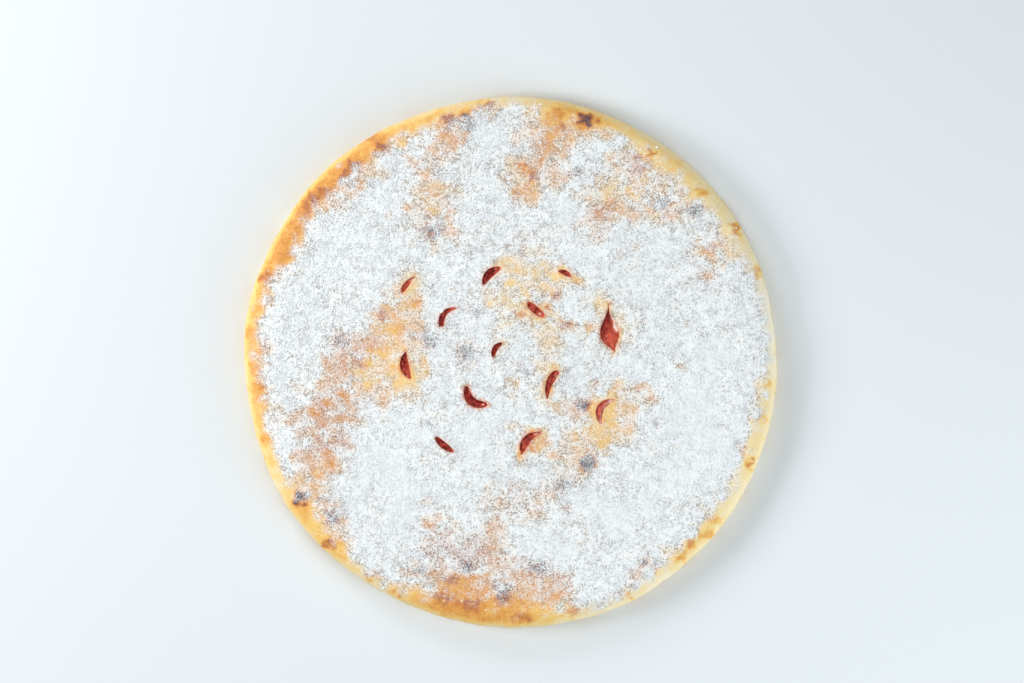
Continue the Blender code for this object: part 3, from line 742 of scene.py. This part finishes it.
def rolled_corner(steps):
    """How far each step round a rolled corner has come, and how far it has still to go."""
    for step in range(1, steps + 1):
        turn = math.pi / 2 * step / steps
        yield math.sin(turn) ** (2 / ROLL_POWER), max(math.cos(turn), 0.0) ** (2 / ROLL_POWER)


def edge_profile():
    """Radius and height of each ring, from the top's edge round the waist to the foot."""
    for come, left in rolled_corner(RIM_STEPS):
        inset = RIM_WIDTH * (1 - come)
        yield PIE_RADIUS - inset, WAIST_HEIGHT + (PIE_HEIGHT - WAIST_HEIGHT) * left
    for come, left in rolled_corner(FOOT_STEPS):
        yield PIE_RADIUS - FOOT_INSET * (1 - left), WAIST_HEIGHT * (1 - come)


def round_pie():
    """A clean round pie: a grid drawn into a disc, its edge rolled down to a flat foot."""
    radius = PIE_RADIUS - RIM_WIDTH
    pie = add_primitive(
        bpy.ops.mesh.primitive_grid_add,
        "pie_crust",
        x_subdivisions=TOP_CELLS,
        y_subdivisions=TOP_CELLS,
        size=2 * radius,
        location=(0, 0, PIE_HEIGHT),
    )
    set_points(pie, square_to_disc(get_points(pie)))
    with editing(pie, "EDGE"):
        bpy.ops.mesh.select_all(action="DESELECT")
        bpy.ops.mesh.select_non_manifold()
        extrude_rings(radius, PIE_HEIGHT, edge_profile())
        bpy.ops.mesh.edge_face_add()
        bpy.ops.mesh.poke()
    return pie


def spread(points):
    """Moves a clean round pie's points out to the uneven outline, without their heights."""
    x, y, z = points.T
    angle = np.arctan2(y, x)
    share = np.minimum(np.hypot(x, y) / (PIE_RADIUS - RIM_WIDTH), 1)
    drawn_in = np.zeros_like(x)
    for length, depth, seed in SIDE_RIPPLES:
        drawn_in += depth * (1 + np.clip(ripple(PIE_RADIUS * angle, 2 * z, length, seed), -1, 1))
    on_side = ramp(np.hypot(x, y), PIE_RADIUS - FOOT_INSET - SIDE_RIPPLE_FADE, PIE_RADIUS)
    radius = np.hypot(x, y) + swell(angle) * share - drawn_in * on_side * (z > 0)
    x = radius * np.cos(angle) - MIDDLE_X * share
    y = radius * np.sin(angle) - MIDDLE_Y * share
    return np.column_stack((x, y, z))


def raise_relief(points):
    """Raises the points of the top by the baked relief, and rounds the vents' upper edges."""
    x, y, z = points.T
    roll = np.clip((z - WAIST_HEIGHT) / (PIE_HEIGHT - WAIST_HEIGHT), 0, 1)
    share = np.clip(1 - vent_distance(x, y) / VENT_EDGE_ROUND, 0, 1)
    height = dough_height(x, y) - VENT_EDGE_ROUND * (1 - np.sqrt(1 - share ** 2))
    return np.column_stack((x, y, z + (height - PIE_HEIGHT) * roll))


def refine_near_vents(pie):
    """Divides the faces round the vents again, so that their edges can be rounded."""
    centres = np.empty(3 * len(pie.data.polygons))
    pie.data.polygons.foreach_get("center", centres)
    x, y, z = centres.reshape(-1, 3).T
    near = (vent_distance(x, y) < VENT_FINE_REACH) & (z > WAIST_HEIGHT)
    with editing(pie, "FACE"):
        bpy.ops.mesh.select_all(action="DESELECT")
    pie.data.polygons.foreach_set("select", near)
    with editing(pie, "FACE", whole=False):
        bpy.ops.mesh.subdivide(number_cuts=VENT_CUTS)


def filling_layer(gap):
    """The flat layer that the filling takes up, smaller by a gap all round."""
    beside = DOUGH_BESIDE + gap
    low = DOUGH_UNDER + gap
    high = FILLING_TOP - gap
    radius = PIE_RADIUS - beside - FILLING_EDGE_ROUND
    layer = add_primitive(
        bpy.ops.mesh.primitive_circle_add,
        "filling_layer",
        vertices=FILLING_SIDES,
        radius=radius,
        fill_type="NGON",
        location=(0, 0, low),
    )
    rings = (
        (PIE_RADIUS - beside, low + FILLING_EDGE_ROUND),
        (PIE_RADIUS - beside, high - FILLING_EDGE_ROUND),
        (radius, high),
    )
    with editing(layer, "FACE"):
        extrude_rings(radius, low, rings)
    turn_faces_out(layer)
    set_points(layer, spread(get_points(layer)))
    return layer


def vent_cuts():
    """An upright block in the outline of each vent, which cuts it out of the crust."""
    blocks = []
    for vent in VENTS:
        corners = vent_outline(vent)
        block = add_primitive(
            bpy.ops.mesh.primitive_circle_add,
            "vent_cut",
            vertices=len(corners),
            radius=vent.length * MM / 2,
            fill_type="NGON",
            location=(vent.x * MM, vent.y * MM, VENT_FLOOR),
        )
        set_points(block, np.column_stack((corners, np.full(len(corners), VENT_FLOOR))))
        with editing(block, "FACE"):
            rise = {"value": (0, 0, VENT_CUT_TOP - VENT_FLOOR)}
            bpy.ops.mesh.extrude_region_move(TRANSFORM_OT_translate=rise)
        turn_faces_out(block)
        blocks.append(block)
    return join(blocks, "vent_cuts")


def fruit_mounds():
    """The lumpy fruit that stands up in each vent, as closed blocks."""
    mounds = []
    for vent in VENTS:
        mound = add_primitive(
            bpy.ops.mesh.primitive_grid_add,
            "fruit_mound",
            x_subdivisions=MOUND_CELLS_ALONG,
            y_subdivisions=MOUND_CELLS_ACROSS,
            size=2,
        )
        u, v, _ = get_points(mound).T
        along = (1 - np.cos(np.pi * (u + 1) / 2)) / 2
        x, y = vent_point(vent, along, v, MOUND_GAP)
        edge_x, edge_y = vent_point(vent, along, 1, MOUND_GAP)
        mid_x, mid_y = vent_point(vent, along, 0, MOUND_GAP)
        half_width = np.hypot(edge_x - mid_x, edge_y - mid_y)
        depth = FILLING_DEPTH * np.clip(half_width / NARROW_VENT, LEAST_DEPTH_SHARE, 1)
        height = top_height(x, y) - depth - FILLING_SAG * np.abs(v)
        for unevenness in FRUIT_LUMPS:
            height += uneven(x, y, unevenness)
        set_points(mound, np.column_stack((x, y, height)))
        with editing(mound, "FACE"):
            bpy.ops.mesh.extrude_region_move()
        points = get_points(mound)
        chosen = np.empty(len(points), bool)
        mound.data.vertices.foreach_get("select", chosen)
        points[~chosen, 2] = VENT_FLOOR
        set_points(mound, points)
        turn_faces_out(mound)
        mounds.append(mound)
    return join(mounds, "fruit_mounds")


def make_crust():
    """The baked dough, hollowed for the filling and cut open at the vents."""
    crust = round_pie()
    set_points(crust, spread(get_points(crust)))
    refine_near_vents(crust)
    set_points(crust, raise_relief(get_points(crust)))
    boolean(crust, "DIFFERENCE", filling_layer(0.0))
    boolean(crust, "DIFFERENCE", vent_cuts())
    shade(crust)
    x, y, z = get_points(crust).T
    on_top = z > WAIST_HEIGHT
    set_attribute(crust, "bake", crust_browning(x, y, z))
    set_attribute(crust, "cover", np.where(on_top, sugar_cover(x, y), -1))
    set_attribute(crust, "stain", juice_stain(x, y) * on_top)
    return crust


def make_filling():
    """The strawberry layer with its lumpy fruit in the vents."""
    filling = filling_layer(JOIN_GAP)
    boolean(filling, "UNION", fruit_mounds())
    filling.name = "strawberry_fruit"
    shade(filling)
    x, y, _ = get_points(filling).T
    flesh = np.zeros_like(x)
    for vent, near, distance in near_vents(x, y):
        flesh[near] += vent.flesh * (distance < 0)
    # Paler and darker places, among them painted highlights and a stripe of painted shade
    for patch in FRUIT_TONES_AND_PAINTED_LIGHT:
        flesh += patch.amount * bump(from_middle(x, y, patch), 1.0)
    # Painted light: paler fruit along each vent's lower right side
    for _, near, distance in near_vents(x + LIT_SIDE_SHIFT, y - LIT_SIDE_SHIFT):
        flesh[near] += LIT_SIDE_PAINT * ramp(distance, *LIT_SIDE_FADE)
    set_attribute(filling, "flesh", flesh)
    return filling


def scatter(grains):
    """Places on the crust, seeded, with more of them where the sugar is thick."""
    draw = np.random.default_rng(grains.seed)
    found = np.empty((0, 2))
    while len(found) < grains.count:
        x, y = draw.uniform(-PIE_RADIUS, PIE_RADIUS, (2, grains.count))
        inset = outline_inset(x, y)
        cover = np.clip(sugar_cover(x, y), 0, 1) ** grains.strictness
        cover += STRAY_GRAINS * ramp(inset, *STRAY_FADE)
        kept = draw.uniform(0, 1, x.shape) < cover
        kept &= (vent_distance(x, y) > VENT_CLEARANCE) & (inset > EDGE_CLEARANCE)
        found = np.vstack((found, np.column_stack((x, y))[kept]))
    return found[: grains.count]


def grain_cloud(name, solid, grains):
    """Joins a turned and squashed copy of a small solid at each place into one mesh."""
    corners = get_points(solid)
    faces = np.array([polygon.vertices for polygon in solid.data.polygons])
    bpy.data.objects.remove(solid)
    places = scatter(grains)
    draw = np.random.default_rng(grains.seed + 1)
    count = len(places)
    size = grains.radius * np.exp(draw.normal(0, grains.spread, count))
    turn = draw.uniform(0, math.tau, count)
    shape = corners[None] * draw.uniform(*GRAIN_UNEVENNESS, (count, len(corners), 3))
    shape *= size[:, None, None]
    x = shape[..., 0] * np.cos(turn)[:, None] - shape[..., 1] * np.sin(turn)[:, None]
    y = shape[..., 0] * np.sin(turn)[:, None] + shape[..., 1] * np.cos(turn)[:, None]
    middle = crust_height(*places.T) + size * GRAIN_FLATNESS * (1 - 2 * GRAIN_SINK)
    z = shape[..., 2] * GRAIN_FLATNESS + middle[:, None]
    points = np.stack((x + places[:, :1], y + places[:, 1:], z), axis=-1).reshape(-1, 3)
    points[:, 2] = np.minimum(points[:, 2], cad_box[1].z)
    first = len(corners) * np.arange(count)
    numbers = (faces[None] + first[:, None, None]).reshape(-1, faces.shape[1])
    mesh = bpy.data.meshes.new(name)
    mesh.from_pydata(points.tolist(), [], numbers.tolist())
    return add_object(name, mesh)


def tone(red, green, blue):
    """A colour as the shader takes it, from its screen values out of 255."""
    def linear(value):
        value /= 255
        return value / 12.92 if value <= 0.04045 else ((value + 0.055) / 1.055) ** 2.4

    return (linear(red), linear(green), linear(blue), 1.0)


class Wire:
    """A node's output, so that shader maths reads as plain sums."""

    def __init__(self, shader, socket):
        self.shader = shader
        self.socket = socket

    def sum(self, operation, first, second):
        return self.shader.add("ShaderNodeMath", {"operation": operation}, {0: first, 1: second})

    def __add__(self, other):
        return self.sum("ADD", self, other)

    def __radd__(self, other):
        return self.sum("ADD", other, self)

    def __sub__(self, other):
        return self.sum("SUBTRACT", self, other)

    def __rsub__(self, other):
        return self.sum("SUBTRACT", other, self)

    def __mul__(self, other):
        return self.sum("MULTIPLY", self, other)


class Shader:
    """One material, whose nodes come from add() and whose patterns read Object coordinates."""

    def __init__(self, name):
        self.material = bpy.data.materials.new(name)
        self.material.use_nodes = True
        self.tree = self.material.node_tree
        self.surface = self.tree.nodes["Principled BSDF"]
        self.place = self.add("ShaderNodeTexCoord", output="Object")

    def add(self, kind, settings=None, inputs=None, output=0):
        """A new node: its settings or its ramp's stops first, then its sockets' values."""
        node = self.tree.nodes.new(kind)
        for name, value in (settings or {}).items():
            if name == "stops":
                self.set_stops(node.color_ramp, value)
            else:
                setattr(node, name, value)
        for socket, value in (inputs or {}).items():
            self.feed(node.inputs[socket], value)
        return Wire(self, node.outputs[output])

    def set_stops(self, color_ramp, stops):
        """Fills a colour ramp with its places and colours."""
        while len(color_ramp.elements) < len(stops):
            color_ramp.elements.new(1.0)
        for element, (place, colour) in zip(color_ramp.elements, stops):
            element.position = place
            element.color = colour

    def feed(self, socket, value):
        """Links a wire to a socket, or sets the socket to a plain value."""
        if isinstance(value, Wire):
            self.tree.links.new(value.socket, socket)
        else:
            socket.default_value = value

    def attribute(self, name):
        """The value that a piece's points carry."""
        return self.add("ShaderNodeAttribute", {"attribute_name": name}, output="Fac")

    def noise(self, size, detail=2.0, roughness=0.5):
        """Soft noise with features of about this size, around 0."""
        inputs = {"Vector": self.place, "Scale": 1 / size, "Detail": detail, "Roughness": roughness}
        return self.add("ShaderNodeTexNoise", None, inputs) - 0.5

    def step(self, value, low, high):
        """0 below low, 1 above high and smooth in between."""
        inputs = {"Value": value, "From Min": low, "From Max": high}
        return self.add("ShaderNodeMapRange", {"interpolation_type": "SMOOTHSTEP"}, inputs)

    def mix(self, share, first, second, blend="MIX"):
        """A blend of two colours."""
        settings = {"data_type": "RGBA", "blend_type": blend}
        return self.add("ShaderNodeMix", settings, {0: share, 6: first, 7: second}, 2)

    def finish(self, specular=0.5, **sockets):
        """Feeds the surface's sockets, named with _ for a space, and returns the material."""
        self.surface.inputs["Specular IOR Level"].default_value = specular
        for name, value in sockets.items():
            self.feed(self.surface.inputs[name.replace("_", " ").title()], value)
        return self.material

    def relief(self, height, depth):
        """A bumped normal from a height pattern that is this deep in metres."""
        return self.add("ShaderNodeBump", None, {"Height": height, "Distance": depth}, "Normal")


DOUGH_TONES = (
    (0.00, tone(250, 241, 214)),
    (0.14, tone(248, 226, 170)),
    (0.28, tone(246, 204, 116)),
    (0.42, tone(231, 163, 72)),
    (0.58, tone(196, 122, 62)),
    (0.74, tone(140, 84, 66)),
    (0.88, tone(84, 62, 70)),
    (1.00, tone(50, 44, 56)),
)
SUGAR_TONE = tone(248, 253, 255)
SUGAR_SHADE = tone(240, 243, 248)
# Painted shade between the sugar's grains, warm over pale dough and cool under thick sugar, partly the
# darker dough seen through the gaps
WARM_GAP_SHADE = tone(162, 122, 98)
COOL_GAP_SHADE = tone(126, 130, 146)
STAIN_TONE = tone(190, 78, 52)
GLOW_TONE = tone(244, 150, 100)
DARK_JUICE = tone(110, 14, 11)
LIGHT_JUICE = tone(150, 30, 20)
FLESH_TONE = tone(212, 92, 68)
# Near-white, for the pale flap in the big vent and for painted highlights on the wet juice
SKIN_AND_HIGHLIGHT_TONE = tone(250, 232, 224)
FLOOR_TONES = (tone(229, 236, 241), tone(230, 237, 242))

# The patterns in the materials: the size of their features
POWDER_SIZE = 0.9 * MM
GRIT_SIZE = 1.5 * MM
CLUMP_SIZE = 2.6 * MM
MOTTLE_SIZE = 7 * MM
PULP_SIZE = 2.2 * MM
FRUIT_GRAIN_SIZE = 1.2 * MM
SUGAR_SHADE_SIZE = 2 * MM
FLOOR_SHADE_SIZE = 0.5

# Between which values the effects in the materials set in
STAINED = (0.7, 1.0)
DUSTED = (0.0, 0.15)
FILMED = (-0.10, 1.0)
POWDERED = (0.0, 0.25)
GAPPED = (-0.05, 0.20)
COOL_GAP_SHADED = (0.35, 1.05)
BROWNED = (-0.1, 0.25)
JUICE_MIXED = (-0.15, 0.15)
FLESHY = (0.1, 0.9)
SKIN_AND_HIGHLIGHT_RANGE = (1.1, 2.0)
SUGAR_MIXED = (-0.2, 0.2)
FLOOR_MIXED = (-0.3, 0.3)

# How much of each pattern goes into the browning, the stain, the film of sugar, the gaps in it
# and how cool the painted shade in the gaps looks
MOTTLE_IN_BAKE = 0.35
CLUMPS_IN_BAKE = 0.12
GRIT_IN_BAKE = 0.7
MOTTLE_IN_STAIN = 0.4
CLUMPS_IN_FILM = 0.35
CLUMPS_IN_GAPS = 0.5
MOTTLE_IN_GAPS = 0.4
GRIT_IN_GAP_SHADE_COOLNESS = 1.2

# How strongly the effects show, how high they stand as shares of the relief, and the relief
STAIN_STRENGTH = 0.85
GLOW_STRENGTH = 0.7
POWDER_STRENGTH = 1.2
THICK_GAP_SHADE = 1.30
THIN_GAP_SHADE = 1.5
FILM_HEIGHT = 0.25
MOTTLE_HEIGHT = 0.5
GAP_DEPTH = 0.3
CRUST_RELIEF = 1.0 * MM
FRUIT_RELIEF = 0.5 * MM


def crust_finish():
    """Baked dough from pale cream to burned, under uneven powdered sugar with painted shade in its gaps."""
    shader = Shader("baked_dough_under_sugar")
    powder = shader.noise(POWDER_SIZE, roughness=0.6)
    grit = shader.noise(GRIT_SIZE, roughness=0.6)
    clumps = shader.noise(CLUMP_SIZE, roughness=0.6)
    mottle = shader.noise(MOTTLE_SIZE, detail=4.0, roughness=0.6)
    browning = shader.attribute("bake")
    bake = browning + mottle * MOTTLE_IN_BAKE + clumps * CLUMPS_IN_BAKE
    bake = bake + grit * (browning * GRIT_IN_BAKE)
    dough = shader.add("ShaderNodeValToRGB", {"stops": DOUGH_TONES}, {"Fac": bake})
    stain = shader.step(shader.attribute("stain") + mottle * MOTTLE_IN_STAIN, *STAINED)
    dough = shader.mix(stain * STAIN_STRENGTH, dough, STAIN_TONE)
    cover = shader.attribute("cover")
    dusted = shader.step(cover, *DUSTED)
    film = shader.step(cover + (clumps * CLUMPS_IN_FILM + powder) * dusted, *FILMED)
    colour = shader.mix(film, dough, SUGAR_TONE)
    half_bare = film * (1 - film)
    powdered = shader.step(powder, *POWDERED) * half_bare * POWDER_STRENGTH
    colour = shader.mix(powdered, colour, SUGAR_TONE)
    unevenness = 0 - powder - clumps * CLUMPS_IN_GAPS - mottle * MOTTLE_IN_GAPS
    gaps = shader.step(unevenness, *GAPPED)
    # Painted shade: the gaps between the sugar's grains are darkened, partly for the dough seen through
    # them
    gap_shade_coolness = shader.step(cover + grit * GRIT_IN_GAP_SHADE_COOLNESS, *COOL_GAP_SHADED)
    gap_shade_tone = shader.mix(gap_shade_coolness, WARM_GAP_SHADE, COOL_GAP_SHADE)
    gap_shade_strength = film * (THICK_GAP_SHADE - cover) + half_bare * THIN_GAP_SHADE
    painted_gap_shade = gaps * gap_shade_strength * shader.step(browning, *BROWNED)
    colour = shader.mix(painted_gap_shade, colour, gap_shade_tone, "MULTIPLY")
    glow = shader.attribute("stain") * GLOW_STRENGTH
    colour = shader.mix(glow, colour, GLOW_TONE, "MULTIPLY")
    height = film * FILM_HEIGHT + mottle * MOTTLE_HEIGHT - film * gaps * GAP_DEPTH
    return shader.finish(
        specular=0.2,
        base_color=colour,
        roughness=0.5 + film * 0.4,
        normal=shader.relief(height, CRUST_RELIEF),
    )


def fruit_finish():
    """Wet cooked strawberry, from dark juice to paler flesh, with painted highlights and shade."""
    shader = Shader("wet_strawberry")
    pulp = shader.noise(PULP_SIZE, detail=3.0)
    paleness_and_painted_light = shader.attribute("flesh")
    juice = shader.mix(shader.step(pulp, *JUICE_MIXED), DARK_JUICE, LIGHT_JUICE)
    colour = shader.mix(shader.step(paleness_and_painted_light + pulp, *FLESHY), juice, FLESH_TONE)
    # Near-white where the paleness runs highest: the pale flap and the painted highlights
    colour = shader.mix(shader.step(paleness_and_painted_light, *SKIN_AND_HIGHLIGHT_RANGE), colour, SKIN_AND_HIGHLIGHT_TONE)
    return shader.finish(
        specular=0.3,
        base_color=colour,
        roughness=0.25,
        normal=shader.relief(shader.noise(FRUIT_GRAIN_SIZE), FRUIT_RELIEF),
    )


def sugar_finish():
    """Dry white powder with a trace of blue."""
    shader = Shader("icing_sugar")
    lightness = shader.step(shader.noise(SUGAR_SHADE_SIZE), *SUGAR_MIXED)
    colour = shader.mix(lightness, SUGAR_SHADE, SUGAR_TONE)
    return shader.finish(base_color=colour, roughness=0.9)


def floor_finish():
    """A plain pale matt floor."""
    shader = Shader("pale_floor")
    lightness = shader.step(shader.noise(FLOOR_SHADE_SIZE), *FLOOR_MIXED)
    colour = shader.mix(lightness, *FLOOR_TONES)
    return shader.finish(base_color=colour, roughness=0.6)


def make_floor():
    """The floor that the pie lies on."""
    floor = add_primitive(bpy.ops.mesh.primitive_grid_add, "floor", size=FLOOR_SIZE)
    cover_with(floor, floor_finish())


def make_light():
    """The four soft lights, and pale light all round."""
    world = bpy.data.worlds.new("room")
    world.use_nodes = True
    background = world.node_tree.nodes["Background"]
    background.inputs["Color"].default_value = ROOM_COLOUR
    background.inputs["Strength"].default_value = ROOM_STRENGTH
    bpy.context.scene.world = world
    for name, direction, rise, distance, size, power, colour in SOFTBOXES:
        light = bpy.data.lights.new(name, "AREA")
        light.size = size
        light.energy = power
        light.color = colour
        softbox = add_object(name, light)
        along, across = math.radians(direction), math.radians(rise)
        reach = distance * math.cos(across)
        height = distance * math.sin(across)
        softbox.location = (reach * math.cos(along), reach * math.sin(along), height)
        softbox.rotation_euler = softbox.location.to_track_quat("Z", "Y").to_euler()
    bpy.context.scene.view_settings.view_transform = "Standard"


def make_camera():
    """The camera, which looks straight down from far enough to take in the picture's width."""
    camera = bpy.data.cameras.new("camera")
    camera.lens = LENS
    camera.sensor_width = SENSOR
    distance = VIEW_WIDTH * LENS / SENSOR
    camera.clip_end = 10 * distance
    holder = add_object("camera", camera)
    holder.location = (*VIEW_MIDDLE, WAIST_HEIGHT + distance)
    bpy.context.scene.camera = holder


def main():
    """Makes every piece and sets it on the frame."""
    crust = make_crust()
    cover_with(crust, crust_finish())
    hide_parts("crust")
    fruit = make_filling()
    cover_with(fruit, fruit_finish())
    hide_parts("strawberry_filling")
    sugar = sugar_finish()
    speck = add_primitive(bpy.ops.mesh.primitive_cone_add, "speck", vertices=4, radius1=1, depth=1)
    with editing(speck, "FACE"):
        bpy.ops.mesh.quads_convert_to_tris()
    clump = add_primitive(bpy.ops.mesh.primitive_ico_sphere_add, "clump", subdivisions=1, radius=1)
    specks = grain_cloud("sugar_specks", speck, SPECKS)
    clumps = grain_cloud("sugar_clumps", clump, CLUMPS)
    for cloud in (specks, clumps):
        cover_with(cloud, sugar)
    for piece in (crust, fruit, specks, clumps):
        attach(piece, "root")
    make_floor()
    make_light()
    make_camera()


main()
